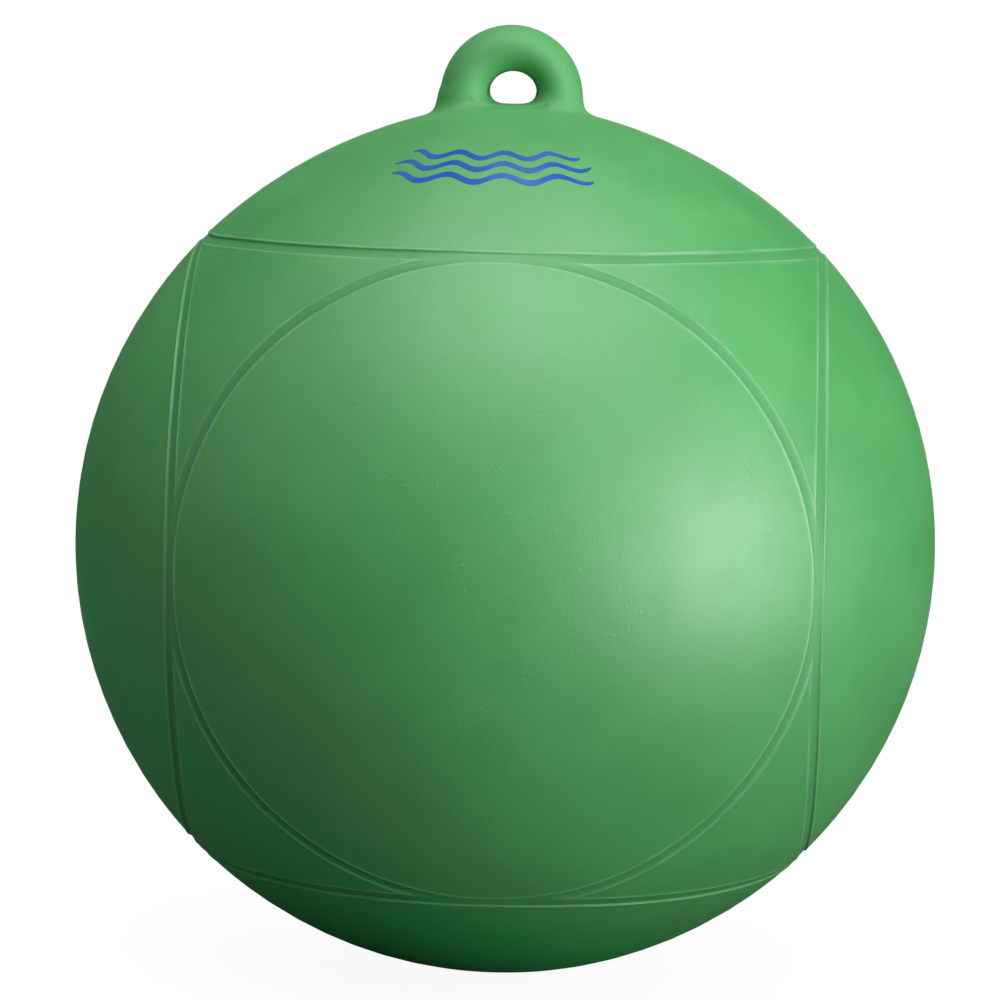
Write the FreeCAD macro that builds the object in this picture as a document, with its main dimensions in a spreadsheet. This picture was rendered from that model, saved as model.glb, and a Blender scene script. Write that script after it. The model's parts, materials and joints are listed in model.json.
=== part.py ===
import FreeCAD, Part
import os
import Sketcher

# Waterski buoy: a hollow vinyl ball with a solid moulded rope eye in its crown and a
# screw-plug air valve behind the eye.  Millimetres, +Z up through the eye, with the eye's
# hole along Y and the valve on the +Y side.  The origin is on the ball's upright axis, in
# the plane of the water that the buoy floats in.

os.makedirs("parts", exist_ok=True)

SIZES = {
    # ball; angles are in degrees, measured from the top
    "ball_radius": 108.0,
    "wall_thickness": 2.0,
    "draught": 35.5,
    "shoulder_start": 42.0,
    "shoulder_swell": 11.3,
    "crown_start": 12.0,
    # grooves: six circles, one round each end of the ball's three axes, a thin ridge apart
    "groove_ridge": 0.6,
    "groove_width": 3.2,
    "groove_depth": 0.45,
    "groove_overcut": 2.0,
    # rope eye; rises are above the crown of the ball
    "hole_radius": 5.75,
    "hole_rise": 3.0,
    "floor_rise": 0.2,
    "floor_radius": 12.0,
    "corner_round": 1.5,
    "hole_round": 4.8,
    "arch_width": 12.0,
    "arch_rise": 2.0,
    "arch_round": 5.2,
    "eye_thickness": 16.0,
    "root_margin": 6.25,
    "root_lap": 4.0,
    "lap_thickness": 2.0,
    # air valve, square to the ball's shoulder
    "valve_angle": 28.0,
    "valve_bore": 5.0,
    "barrel_wall": 2.0,
    "barrel_length": 8.0,
    "flange_overhang": 3.0,
    "flange_thickness": 1.5,
    "seat_clearance": 0.1,
    "boss_margin": 3.0,
    "boss_cover": 1.0,
    "boss_length": 5.0,
    "gasket_gap": 0.1,
    "gasket_width": 1.3,
    "gasket_thickness": 1.0,
    "gasket_recess": 0.8,
    "gasket_clearance": 0.2,
    "plug_clearance": 0.08,
    "plug_length": 6.5,
    "head_overhang": 1.0,
    "head_thickness": 1.8,
    "head_chamfer": 0.5,
    "slot_width": 1.6,
    "slot_depth": 1.0,
}

doc = FreeCAD.newDocument("waterski_buoy")
sheet = doc.addObject("Spreadsheet::Sheet", "sizes")
for row, (alias, size) in enumerate(SIZES.items(), start=1):
    sheet.set(f"A{row}", alias)
    sheet.set(f"B{row}", str(size))
    sheet.setAlias(f"B{row}", alias)
doc.recompute()

V = FreeCAD.Vector
ORIGIN = (-1, 1)
H_AXIS, V_AXIS = -1, -2
START, END, CENTRE = 1, 2, 3
ZERO = "0"
FULL_TURN = 360
FILLET_SHARE = 0.48          # the most of a wall that one rounding may take
ON_FACE = 0.01

# Places that more than one piece uses, as expressions in the sheet's names.  The ball's
# outline is three arcs, each tangent to the next: ball, shoulder and crown.
BALL = "sizes.ball_radius"
SHOULDER = "(sizes.ball_radius + sizes.shoulder_swell)"
SHOULDER_X = "(-sizes.shoulder_swell * sin(sizes.shoulder_start))"
SHOULDER_Z = "(-sizes.shoulder_swell * cos(sizes.shoulder_start))"
CROWN_EDGE_X = f"({SHOULDER_X} + {SHOULDER} * sin(sizes.crown_start))"
CROWN_EDGE_Z = f"({SHOULDER_Z} + {SHOULDER} * cos(sizes.crown_start))"
CROWN_CENTRE_Z = f"({SHOULDER_Z} - {SHOULDER_X} / tan(sizes.crown_start))"
CROWN_TOP = f"({CROWN_CENTRE_Z} + {CROWN_EDGE_X} / sin(sizes.crown_start))"
BALL_CENTRE = "(sizes.ball_radius - sizes.draught)"

ARCH_RADIUS = "(sizes.hole_radius + sizes.arch_width)"
ARCH_CENTRE = f"({CROWN_TOP} + sizes.arch_rise)"
HOLE_CENTRE = f"({CROWN_TOP} + sizes.hole_rise)"
ARCH_TOP_WIDTH = "(sizes.arch_width + sizes.arch_rise - sizes.hole_rise)"
ROUND_LIMIT = f"{FILLET_SHARE} * {ARCH_TOP_WIDTH}; {FILLET_SHARE} * sizes.eye_thickness"
ROOT_RADIUS = f"({ARCH_RADIUS} + sizes.root_margin)"
LAP_RADIUS = f"({ROOT_RADIUS} + sizes.root_lap)"

BARREL_RADIUS = "(sizes.valve_bore + sizes.barrel_wall)"
FLANGE_RADIUS = f"({BARREL_RADIUS} + sizes.flange_overhang)"
BOSS_RADIUS = f"({FLANGE_RADIUS} + sizes.boss_margin)"
GASKET_BORE = "(sizes.valve_bore + sizes.gasket_gap)"
GASKET_RADIUS = f"({GASKET_BORE} + sizes.gasket_width)"
GASKET_SEAT = f"({GASKET_RADIUS} + sizes.gasket_clearance)"
HEAD_RADIUS = f"({GASKET_SEAT} + sizes.head_overhang)"
HEAD_BASE = "(sizes.gasket_thickness - sizes.gasket_recess)"
HEAD_TOP = f"({HEAD_BASE} + sizes.head_thickness)"


def number(expression):
    """The present value of an expression."""
    return float(sheet.evalExpression(expression))


def point(x, y):
    return V(number(x), number(y), 0)


def shoulder_point(x, inset=ZERO):
    """The point of the shoulder arc, or of one inside it, so far from the upright axis."""
    radius = f"({SHOULDER} - {inset})"
    return x, f"({SHOULDER_Z} + sqrt({radius}^2 - ({x} - {SHOULDER_X})^2))"


ROOT_EDGE = shoulder_point(ROOT_RADIUS)
ROOT_STEP = shoulder_point(ROOT_RADIUS, "sizes.wall_thickness")
LAP_EDGE = shoulder_point(LAP_RADIUS, "sizes.wall_thickness")
ROOT_BASE = f"({LAP_EDGE[1]} - sizes.lap_thickness)"


# Sketches

def new_body(label):
    """A body named after its piece, with its origin on the ball's centre."""
    body = doc.addObject("PartDesign::Body", label)
    body.Label = label
    body.setExpression("Placement.Base.z", BALL_CENTRE)
    return body


def new_sketch(body, name, role="XZ_Plane"):
    """An empty sketch on one of the body's own origin planes."""
    sketch = body.newObject("Sketcher::SketchObject", name)
    plane = next(f for f in body.Origin.OriginFeatures if f.Role == role)
    sketch.AttachmentSupport = [(plane, "")]
    sketch.MapMode = "FlatFace"
    return sketch


def drive(sketch, kind, *place, size):
    """Adds a dimension that follows an expression."""
    index = sketch.addConstraint(Sketcher.Constraint(kind, *place, number(size)))
    name = f"size_{index}"
    sketch.renameConstraint(index, name)
    sketch.setExpression(f"Constraints.{name}", size)


def at_x(sketch, edge, end, x):
    if x == ZERO:
        sketch.addConstraint(Sketcher.Constraint("PointOnObject", edge, end, V_AXIS))
    else:
        drive(sketch, "DistanceX", *ORIGIN, edge, end, size=x)


def at_y(sketch, edge, end, y):
    if y == ZERO:
        sketch.addConstraint(Sketcher.Constraint("PointOnObject", edge, end, H_AXIS))
    else:
        drive(sketch, "DistanceY", *ORIGIN, edge, end, size=y)


def at(sketch, edge, end, place):
    at_x(sketch, edge, end, place[0])
    at_y(sketch, edge, end, place[1])


def join(sketch, edge, end, other, other_end):
    sketch.addConstraint(Sketcher.Constraint("Coincident", edge, end, other, other_end))


def add_line(sketch, start, end):
    return sketch.addGeometry(Part.LineSegment(point(*start), point(*end)), False)


def add_arc(sketch, centre, start, end):
    """An arc drawn anticlockwise from start to end."""
    first, last = point(*start), point(*end)
    circle = Part.Circle(point(*centre), V(0, 0, 1), (first - point(*centre)).Length)
    arc = Part.ArcOfCircle(circle, circle.parameter(first), circle.parameter(last))
    return sketch.addGeometry(arc, False)


def add_polygon(sketch, corners):
    """A closed outline of straight edges."""
    edges = [add_line(sketch, a, b) for a, b in zip(corners, corners[1:] + corners[:1])]
    for edge, corner in zip(edges, corners):
        at(sketch, edge, START, corner)
    for edge, following in zip(edges, edges[1:] + edges[:1]):
        join(sketch, edge, END, following, START)


# Features

def new_feature(body, kind, sketch):
    feature = body.newObject(f"PartDesign::{kind}", f"{sketch.Name}_{kind.lower()}")
    feature.Profile = sketch
    return feature


def turn(body, sketch, kind="Revolution", axis="V_Axis"):
    """Turns a sketch all the way round one of its axes, to add or to cut."""
    feature = new_feature(body, kind, sketch)
    feature.ReferenceAxis = (sketch, [axis])
    feature.Angle = FULL_TURN
    body.Tip = feature


def push(body, sketch, kind, length=None, side="One side", reverse=False):
    """A pad or a pocket; with no length it goes right through."""
    before = body.Tip
    feature = new_feature(body, kind, sketch)
    feature.SideType = side
    feature.Reversed = reverse
    if length is None:
        feature.Type = "ThroughAll"
    else:
        feature.setExpression("Length", length)
    body.Tip = feature
    doc.recompute()
    if kind == "Pocket" and feature.Shape.Volume > before.Shape.Volume - 1:
        raise RuntimeError(f"{feature.Name} cut nothing")


def round_edges(body, name, chosen, radius):
    """Rounds the edges of the body's last feature that a test chooses."""
    base = body.Tip
    edges = [f"Edge{i}" for i, edge in enumerate(base.Shape.Edges, start=1) if chosen(edge)]
    feature = body.newObject("PartDesign::Fillet", name)
    feature.Base = (base, edges)
    feature.setExpression("Radius", radius)
    body.Tip = feature
    doc.recompute()


def place_at_valve(thing, placement, depth=ZERO, height=ZERO):
    """Stands a placement on the shoulder at the valve, its Z pointing straight out."""
    reach = f"({SHOULDER} - {depth})"
    about_x = FreeCAD.Rotation(V(1, 0, 0), -number("sizes.valve_angle"))
    setattr(thing, placement, FreeCAD.Placement(V(0, 0, 0), about_x))
    for part, size in (("Rotation.Angle", "-sizes.valve_angle"),
                       ("Base.y", f"{SHOULDER_X} + {reach} * sin(sizes.valve_angle)"),
                       ("Base.z", f"{height} + {SHOULDER_Z} + {reach} * cos(sizes.valve_angle)")):
        thing.setExpression(f"{placement}.{part}", size)


# Ball

def draw_ball_section(sketch):
    """Half of the shell's section, open at the crown as wide as the eye's root."""
    layers = []
    for inset in (ZERO, "sizes.wall_thickness"):
        radius = f"({BALL} - {inset})"
        bottom = (ZERO, f"-{radius}")
        turning = (f"{radius} * sin(sizes.shoulder_start)", f"{radius} * cos(sizes.shoulder_start)")
        low = add_arc(sketch, (ZERO, ZERO), bottom, turning)
        high = add_arc(sketch, (SHOULDER_X, SHOULDER_Z), turning, shoulder_point(ROOT_RADIUS, inset))
        join(sketch, low, CENTRE, *ORIGIN)
        at(sketch, low, START, bottom)
        at_x(sketch, low, END, turning[0])
        join(sketch, high, START, low, END)
        at(sketch, high, CENTRE, (SHOULDER_X, SHOULDER_Z))
        at_x(sketch, high, END, ROOT_RADIUS)
        layers.append((low, high))
    (outer_low, outer_high), (inner_low, inner_high) = layers
    foot = add_line(sketch, (ZERO, f"-{BALL}"), (ZERO, f"-({BALL} - sizes.wall_thickness)"))
    rim = add_line(sketch, ROOT_EDGE, ROOT_STEP)
    join(sketch, foot, START, outer_low, START)
    join(sketch, foot, END, inner_low, START)
    join(sketch, rim, START, outer_high, END)
    join(sketch, rim, END, inner_high, END)


def draw_groove(sketch, low, high):
    """One channel's section between two angles, its floor an arc round the ball's centre."""
    floor, open_air = "(sizes.ball_radius - sizes.groove_depth)", f"({BALL} + sizes.groove_overcut)"
    low_floor, low_top, high_top, high_floor = (
        (f"{radius} * cos({angle})", f"{radius} * sin({angle})")
        for radius, angle in ((floor, low), (open_air, low), (open_air, high), (floor, high)))
    inner = add_arc(sketch, (ZERO, ZERO), low_floor, high_floor)
    outer = add_arc(sketch, (ZERO, ZERO), low_top, high_top)
    low_side = add_line(sketch, low_floor, low_top)
    high_side = add_line(sketch, high_floor, high_top)
    for arc in (inner, outer):
        join(sketch, arc, CENTRE, *ORIGIN)
        join(sketch, low_side, START if arc == inner else END, arc, START)
        join(sketch, high_side, START if arc == inner else END, arc, END)
    at(sketch, low_side, START, low_floor)
    at(sketch, low_side, END, low_top)
    at_x(sketch, high_side, START, high_floor[0])
    at_x(sketch, high_side, END, high_top[0])


def cut_grooves(body):
    """Three pairs of channels, one round each axis of the ball, ridges left between them."""
    far = "(45 - sizes.groove_ridge / 2 / sizes.ball_radius * 180 / pi)"
    near = f"({far} - sizes.groove_width / sizes.ball_radius * 180 / pi)"
    round_h_axis = ((near, far), (f"(180 - {far})", f"(180 - {near})"))
    round_v_axis = ((f"({near} - 90)", f"({far} - 90)"), (f"(90 - {far})", f"(90 - {near})"))
    for name, role, axis, spans in (
            ("level_grooves", "XZ_Plane", "V_Axis", round_v_axis),
            ("side_grooves", "XZ_Plane", "H_Axis", round_h_axis),
            ("front_grooves", "YZ_Plane", "H_Axis", round_h_axis)):
        sketch = new_sketch(body, name, role)
        for low, high in spans:
            draw_groove(sketch, low, high)
        turn(body, sketch, "Groove", axis)


def valve_circle(body, name, radius, depth=ZERO):
    """A circle on the valve's axis, so far below the ball's surface."""
    sketch = new_sketch(body, name, "XY_Plane")
    circle = sketch.addGeometry(Part.Circle(V(0, 0, 0), V(0, 0, 1), number(radius)), False)
    join(sketch, circle, CENTRE, *ORIGIN)
    drive(sketch, "Radius", circle, size=radius)
    place_at_valve(sketch, "AttachmentOffset", depth)
    return sketch


def make_ball():
    body = new_body("ball_shell")
    section = new_sketch(body, "ball_section")
    draw_ball_section(section)
    turn(body, section)
    cut_grooves(body)
    boss = valve_circle(body, "valve_boss", BOSS_RADIUS, "sizes.boss_cover")
    push(body, boss, "Pad", "sizes.boss_length", reverse=True)
    recess = valve_circle(body, "flange_recess", f"{FLANGE_RADIUS} + sizes.seat_clearance")
    push(body, recess, "Pocket", "sizes.flange_thickness")
    hole = valve_circle(body, "barrel_hole", f"{BARREL_RADIUS} + sizes.seat_clearance")
    push(body, hole, "Pocket", "sizes.boss_cover + 2 * sizes.boss_length")


# Rope eye

def draw_arch(sketch):
    """A half circle on two upright legs, which run down through the root."""
    right, left = (ARCH_RADIUS, ARCH_CENTRE), (f"-{ARCH_RADIUS}", ARCH_CENTRE)
    right_foot, left_foot = (ARCH_RADIUS, ROOT_BASE), (f"-{ARCH_RADIUS}", ROOT_BASE)
    top = add_arc(sketch, (ZERO, ARCH_CENTRE), right, left)
    left_leg = add_line(sketch, left, left_foot)
    base = add_line(sketch, left_foot, right_foot)
    right_leg = add_line(sketch, right_foot, right)
    at(sketch, top, CENTRE, (ZERO, ARCH_CENTRE))
    at(sketch, top, START, right)
    at_y(sketch, top, END, ARCH_CENTRE)
    at(sketch, base, START, left_foot)
    at(sketch, base, END, right_foot)
    join(sketch, left_leg, START, top, END)
    join(sketch, left_leg, END, base, START)
    join(sketch, right_leg, START, base, END)
    join(sketch, right_leg, END, top, START)


def draw_hole(sketch):
    """A round roof over a floor that sags a little between the arch's legs."""
    floor_centre = f"({CROWN_TOP} + sizes.floor_rise + sizes.floor_radius)"
    apart = "(sizes.floor_rise + sizes.floor_radius - sizes.hole_rise)"
    drop = f"((sizes.floor_radius^2 - sizes.hole_radius^2 - {apart}^2) / 2 / {apart})"
    corner_x = f"sqrt(sizes.hole_radius^2 - {drop}^2)"
    right, left = ((x, f"({HOLE_CENTRE} - {drop})") for x in (corner_x, f"-{corner_x}"))
    roof = add_arc(sketch, (ZERO, HOLE_CENTRE), right, left)
    floor = add_arc(sketch, (ZERO, floor_centre), left, right)
    at(sketch, roof, CENTRE, (ZERO, HOLE_CENTRE))
    at(sketch, floor, CENTRE, (ZERO, floor_centre))
    drive(sketch, "Radius", roof, size="sizes.hole_radius")
    drive(sketch, "Radius", floor, size="sizes.floor_radius")
    join(sketch, roof, START, floor, END)
    join(sketch, roof, END, floor, START)


def draw_root(sketch):
    """Half of the root's section: flush with the ball outside, lapped under its wall."""
    lap_base, middle_base = (LAP_RADIUS, ROOT_BASE), (ZERO, ROOT_BASE)
    crown_edge = (CROWN_EDGE_X, CROWN_EDGE_Z)
    crown = add_arc(sketch, (ZERO, CROWN_CENTRE_Z), crown_edge, (ZERO, CROWN_TOP))
    slope = add_arc(sketch, (SHOULDER_X, SHOULDER_Z), ROOT_EDGE, crown_edge)
    seat = add_arc(sketch, (SHOULDER_X, SHOULDER_Z), LAP_EDGE, ROOT_STEP)
    step = add_line(sketch, ROOT_EDGE, ROOT_STEP)
    side = add_line(sketch, LAP_EDGE, lap_base)
    base = add_line(sketch, lap_base, middle_base)
    middle = add_line(sketch, middle_base, (ZERO, CROWN_TOP))
    at(sketch, crown, CENTRE, (ZERO, CROWN_CENTRE_Z))
    at_x(sketch, crown, END, ZERO)
    for arc, inset, start, end in ((slope, ZERO, ROOT_RADIUS, CROWN_EDGE_X),
                                   (seat, "sizes.wall_thickness", LAP_RADIUS, ROOT_RADIUS)):
        at(sketch, arc, CENTRE, (SHOULDER_X, SHOULDER_Z))
        drive(sketch, "Radius", arc, size=f"{SHOULDER} - {inset}")
        at_x(sketch, arc, START, start)
        at_x(sketch, arc, END, end)
    at(sketch, side, END, lap_base)
    at(sketch, base, END, middle_base)
    for edge, end, other, other_end in (
            (crown, START, slope, END), (step, START, slope, START), (step, END, seat, END),
            (side, START, seat, START), (base, START, side, END),
            (middle, START, base, END), (middle, END, crown, END)):
        join(sketch, edge, end, other, other_end)


def is_hole_corner(edge):
    """The two edges through the hole where its roof meets its floor."""
    middle = edge.CenterOfMass
    in_hole = abs(middle.x) < number("sizes.hole_radius") and middle.z > number(CROWN_TOP)
    return in_hole and edge.BoundBox.YLength > ON_FACE


def is_on_flat_side(edge):
    box = edge.BoundBox
    return box.YLength < ON_FACE and abs(box.YMax) > number("sizes.eye_thickness") / 2 - ON_FACE


def is_hole_rim(edge):
    box = edge.BoundBox
    inside = max(-box.XMin, box.XMax) < number("sizes.hole_radius") + ON_FACE
    return is_on_flat_side(edge) and inside and box.ZMin > number(CROWN_TOP)


def is_arch_rim(edge):
    """The arch's outline on either flat side, without the edge along its base."""
    box = edge.BoundBox
    outside = max(-box.XMin, box.XMax) > number(ARCH_RADIUS) - ON_FACE
    return is_on_flat_side(edge) and outside and box.ZLength > ON_FACE


def make_eye():
    body = new_body("rope_eye")
    arch = new_sketch(body, "arch")
    draw_arch(arch)
    push(body, arch, "Pad", "sizes.eye_thickness", side="Symmetric")
    hole = new_sketch(body, "hole")
    draw_hole(hole)
    push(body, hole, "Pocket", side="Symmetric")
    round_edges(body, "hole_corners", is_hole_corner, "sizes.corner_round")
    round_edges(body, "hole_rims", is_hole_rim, f"min(sizes.hole_round; {ROUND_LIMIT})")
    round_edges(body, "arch_rims", is_arch_rim, f"min(sizes.arch_round; {ROUND_LIMIT})")
    root = new_sketch(body, "root")
    draw_root(root)
    turn(body, root)


# Air valve

def turned_piece(label, corners):
    """A round piece on the valve's axis, turned from an outline of straight edges."""
    body = new_body(label)
    sketch = new_sketch(body, f"{label}_section")
    add_polygon(sketch, corners)
    turn(body, sketch)
    place_at_valve(body, "Placement", height=BALL_CENTRE)
    return body


def make_valve():
    """The seat in the ball's wall, and the gasket and slotted plug that close it."""
    turned_piece("valve_seat", [
        ("sizes.valve_bore", "-sizes.barrel_length"),
        (BARREL_RADIUS, "-sizes.barrel_length"),
        (BARREL_RADIUS, "-sizes.flange_thickness"),
        (FLANGE_RADIUS, "-sizes.flange_thickness"),
        (FLANGE_RADIUS, ZERO),
        (GASKET_SEAT, ZERO),
        (GASKET_SEAT, "-sizes.gasket_recess"),
        ("sizes.valve_bore", "-sizes.gasket_recess"),
    ])
    turned_piece("plug_gasket", [
        (GASKET_BORE, "-sizes.gasket_recess"),
        (GASKET_RADIUS, "-sizes.gasket_recess"),
        (GASKET_RADIUS, HEAD_BASE),
        (GASKET_BORE, HEAD_BASE),
    ])
    shank = "(sizes.valve_bore - sizes.plug_clearance)"
    plug = turned_piece("valve_plug", [
        (ZERO, "-sizes.plug_length"),
        (shank, "-sizes.plug_length"),
        (shank, HEAD_BASE),
        (HEAD_RADIUS, HEAD_BASE),
        (HEAD_RADIUS, f"{HEAD_TOP} - sizes.head_chamfer"),
        (f"{HEAD_RADIUS} - sizes.head_chamfer", HEAD_TOP),
        (ZERO, HEAD_TOP),
    ])
    doc.recompute()
    slot = new_sketch(plug, "plug_slot", "YZ_Plane")
    half, low, high = "sizes.slot_width / 2", f"{HEAD_TOP} - sizes.slot_depth", f"{HEAD_TOP} + 1"
    add_polygon(slot, [(f"-{half}", low), (half, low), (half, high), (f"-{half}", high)])
    push(plug, slot, "Pocket", side="Symmetric")


make_ball()
make_eye()
make_valve()
doc.recompute()

for thing in doc.Objects:
    if {"Invalid", "Error"} & set(thing.State):
        raise RuntimeError(f"{thing.Name} did not build: {thing.State}")
pieces = [thing for thing in doc.Objects if thing.TypeId == "PartDesign::Body"]
for piece in pieces:
    if piece.Shape.isNull() or not piece.Shape.isValid():
        raise RuntimeError(f"{piece.Label} has no valid shape")
for piece in pieces:
    piece.Shape.exportStep(f"parts/{piece.Label}.step")
    print(piece.Label, len(piece.Shape.Solids), round(piece.Shape.Volume, 1))
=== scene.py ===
import json
import math

import bmesh
import bpy
import numpy as np
from mathutils import Matrix, Vector, noise


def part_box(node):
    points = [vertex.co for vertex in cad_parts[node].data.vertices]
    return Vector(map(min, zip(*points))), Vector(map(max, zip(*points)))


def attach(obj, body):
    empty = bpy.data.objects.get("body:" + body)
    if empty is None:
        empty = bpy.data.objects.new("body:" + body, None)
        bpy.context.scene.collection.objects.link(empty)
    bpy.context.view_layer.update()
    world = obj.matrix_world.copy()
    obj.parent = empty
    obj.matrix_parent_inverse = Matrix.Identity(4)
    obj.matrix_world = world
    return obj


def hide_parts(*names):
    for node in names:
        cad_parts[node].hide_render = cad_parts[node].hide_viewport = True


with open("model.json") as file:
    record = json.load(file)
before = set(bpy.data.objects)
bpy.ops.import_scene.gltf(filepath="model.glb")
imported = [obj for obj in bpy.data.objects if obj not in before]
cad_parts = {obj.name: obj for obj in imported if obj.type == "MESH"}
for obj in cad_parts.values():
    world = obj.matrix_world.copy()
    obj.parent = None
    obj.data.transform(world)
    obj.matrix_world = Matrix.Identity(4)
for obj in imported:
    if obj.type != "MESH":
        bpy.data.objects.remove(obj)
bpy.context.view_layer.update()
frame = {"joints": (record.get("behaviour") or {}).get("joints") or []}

# A waterski buoy: a hollow vinyl ball and its rope eye, moulded in one, with a screw-plug
# air valve behind the eye.  Shapes are made in millimetres, with the ball's centre or the
# valve's mouth at zero, and then moved into the frame, which is in metres.  Shaders work in
# metres.

MM = 0.001
DEGREE = math.pi / 180

# ball skin
BALL_RADIUS = 108.0
WALL = 2.0
SHOULDER_START = 42 * DEGREE
SHOULDER_SWELL = 11.3
CROWN_START = 12 * DEGREE
SEGMENTS = 288
MERGE = 0.01
TINY = 1e-9

# Moulded grooves, one circle round each end of the ball's three axes.  Each row is a pole, how
# many millimetres wider than GROOVE_ANGLE its circle is, and how many more towards +X, +Y, +Z.
GROOVE_ANGLE = 45 * DEGREE
GROOVE_GROWTH = (
    ((0, 0, 1), 0.52, (0.28, 0.23, 0)),
    ((0, -1, 0), -0.29, (-0.42, 0, 0.02)),
    ((-1, 0, 0), 0.59, (0, 0.20, -0.76)),
    ((1, 0, 0), -0.58, (0, -0.46, -0.17)),
    ((0, 0, -1), 0.20, (-1.03, 1.26, 0)),
)
GROOVE_SPREAD = 9 * DEGREE
CROWN_FADE = 6 * DEGREE
WANDER = 0.28
WANDER_SCALES = (2.6, 9)
WANDER_SHIFTS = (7.3, 3.1, 5.7)
SEARCH_ROUNDS = 3

# a groove's section, in millimetres outwards from its middle
INNER_EDGE = -1.5
GROOVE_BED = -1.0
BED_END = 0.8
BED_SLOPE = 0.3
OUTER_EDGE = 1.55
GROOVE_DEPTH = 0.33
LIP_PLACES = (-1.65, 1.7)
LIP_WIDTH = 0.22
LIP_REACH = 0.38
LIP_HEIGHT = 0.13

# slow changes over the ball: how much, the noise's scale, and its seed
LIP_CHANGE = (0.45, 5, 8)
DEPTH_CHANGE = (0.2, 4, 9)
SKIN_CHANGE = (0.05, 3.2, 10)

# where two grooves run together: shallower, with lower lips and lighter painted shade
TANGENT_REACH = 3.2
TANGENT_SHALLOW = 0.35
TANGENT_LESS_SHADE = 0.75
TANGENT_SMOOTH = 0.4

# rope eye
EYE_EDGE = 17 * DEGREE
EYE_CENTRE = 112.1
EYE_RADIUS = 17.75
EYE_SHIFT = -0.4
FLARE_START = 115.5
FLARE_EASE = 2
FLARE_LEFT = 0.2
FLARE_RIGHT = 0.03
HOLE_CENTRE = 112.95
HOLE_RADIUS = 5.95
HOLE_FLATNESS = 1.09
EYE_HALF_DEPTH = 8.0
EYE_SQUARENESS = 2.05
EYE_STEPS = 48
ARCH_MERGE = MERGE * 5
EYE_BASE = 100
HOLE_FILLET = 6.2
FOOT_FILLET_LEFT = 3.4
FOOT_FILLET_RIGHT = 5.0
FILLET_CHANGE = (7, 16)
FLOOR_HEIGHT = 110.15
FLOOR_HALF_DEPTH = 7.8
FLOOR_HALF_WIDTH = 8
FLOOR_CORNER = 1.2
FLOOR_FILLET = 1.2
CREASE_PLACE = 8.75
CREASE_MIDDLE = 1
CREASE_BOW = 0.004
CREASE_ENDS = (5, 10)
CREASE_DEPTH = 0.55
CREASE_WIDTH = 0.42
CREASE_FINE_LENGTH = 12
CREASE_FINE_WIDTH = 1.6
FOOT_SQUARE = 0.4
FOOT_RIM = 0.9999
FOOT_DOME = 112
LEG_MARGIN = 0.6
LEG_STEPS = 3
SETTLE_ROUNDS = 4
SETTLE_STEP = 0.01
LEAST_STEEPNESS = 0.05
SMOOTH_ROUNDS = 12

# valve
VALVE_AXIS = Vector(frame["joints"][0]["axis"])
GASKET_MIDDLE = -0.3
RECESS_RADIUS = 10.1
RECESS_DEPTH = 1.5
BORE_RADIUS = 7.1
HOLE_TOOL_ENDS = (-12, 4)
HOLE_SEGMENTS = 96
BOSS_START = 0.6
BOSS_EDGE = 15.0
BOSS_HEIGHT = 0.5
BOSS_REFINE = 17.0


def middle(node):
    low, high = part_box(node)
    return (low + high) / 2


FLOOR_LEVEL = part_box("ball_shell")[0].z
BALL_CENTRE = Vector((0, 0, FLOOR_LEVEL + BALL_RADIUS * MM))
VALVE_MOUTH = middle("plug_gasket") - VALVE_AXIS * GASKET_MIDDLE * MM
VALVE_PLACE = (VALVE_MOUTH - BALL_CENTRE) / MM


# Shape helpers

def smooth_step(low, high, value):
    share = np.clip((value - low) / (high - low), 0, 1)
    return share * share * (3 - 2 * share)


def smooth_least(a, b, reach):
    """The lesser of two fields, rounded where they are within reach of each other."""
    share = np.clip(reach - np.abs(a - b), 0, None) / reach
    return np.minimum(a, b) - share ** 3 * reach / 6


def bump_of(value, place, width):
    return np.exp(-((value - place) / width) ** 2)


def read_points(bm):
    return np.array([vert.co for vert in bm.verts], float).reshape(-1, 3)


def write_points(bm, points):
    for vert, point in zip(bm.verts, points):
        vert.co = point


def wander(directions, scale, seed):
    """Slow smooth noise over the ball, from -1 to 1."""
    shift = Vector([seed * part for part in WANDER_SHIFTS])
    return np.array([noise.noise(Vector(d) * scale + shift) for d in directions])


def slow_change(directions, change):
    size, scale, seed = change
    return size * wander(directions, scale, seed)


def from_top(directions):
    return np.arccos(np.clip(directions[:, 2], -1, 1))


def finish_piece(bm, name, place, material, body, sharp=40):
    """Makes the mesh an object in the frame, smooth but for its sharp edges."""
    mesh = bpy.data.meshes.new(name)
    bm.to_mesh(mesh)
    bm.free()
    mesh.transform(place @ Matrix.Scale(MM, 4))
    mesh.shade_smooth()
    mesh.set_sharp_from_angle(angle=sharp * DEGREE)
    piece = bpy.data.objects.new(name, mesh)
    bpy.context.scene.collection.objects.link(piece)
    piece.data.materials.append(material)
    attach(piece, body)
    return piece


# Ball skin

def skin_radius(angle):
    """The ball's outline: a round ball whose shoulders swell towards its crown."""
    swell, outer = SHOULDER_SWELL, BALL_RADIUS + SHOULDER_SWELL
    toward = swell * np.cos(angle - SHOULDER_START)
    shoulder = -toward + np.sqrt(toward ** 2 - swell ** 2 + outer ** 2)
    side = -swell * math.sin(SHOULDER_START)
    lift = -swell * math.cos(SHOULDER_START)
    edge = (side + outer * math.sin(CROWN_START), lift + outer * math.cos(CROWN_START))
    crown_centre = lift - side / math.tan(CROWN_START)
    crown_radius = edge[0] / math.sin(CROWN_START)
    across = crown_centre * np.cos(angle)
    crown = across + np.sqrt(across ** 2 - crown_centre ** 2 + crown_radius ** 2)
    radius = np.where(angle < SHOULDER_START, shoulder, BALL_RADIUS)
    return np.where(angle < math.atan2(*edge), crown, radius)


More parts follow.
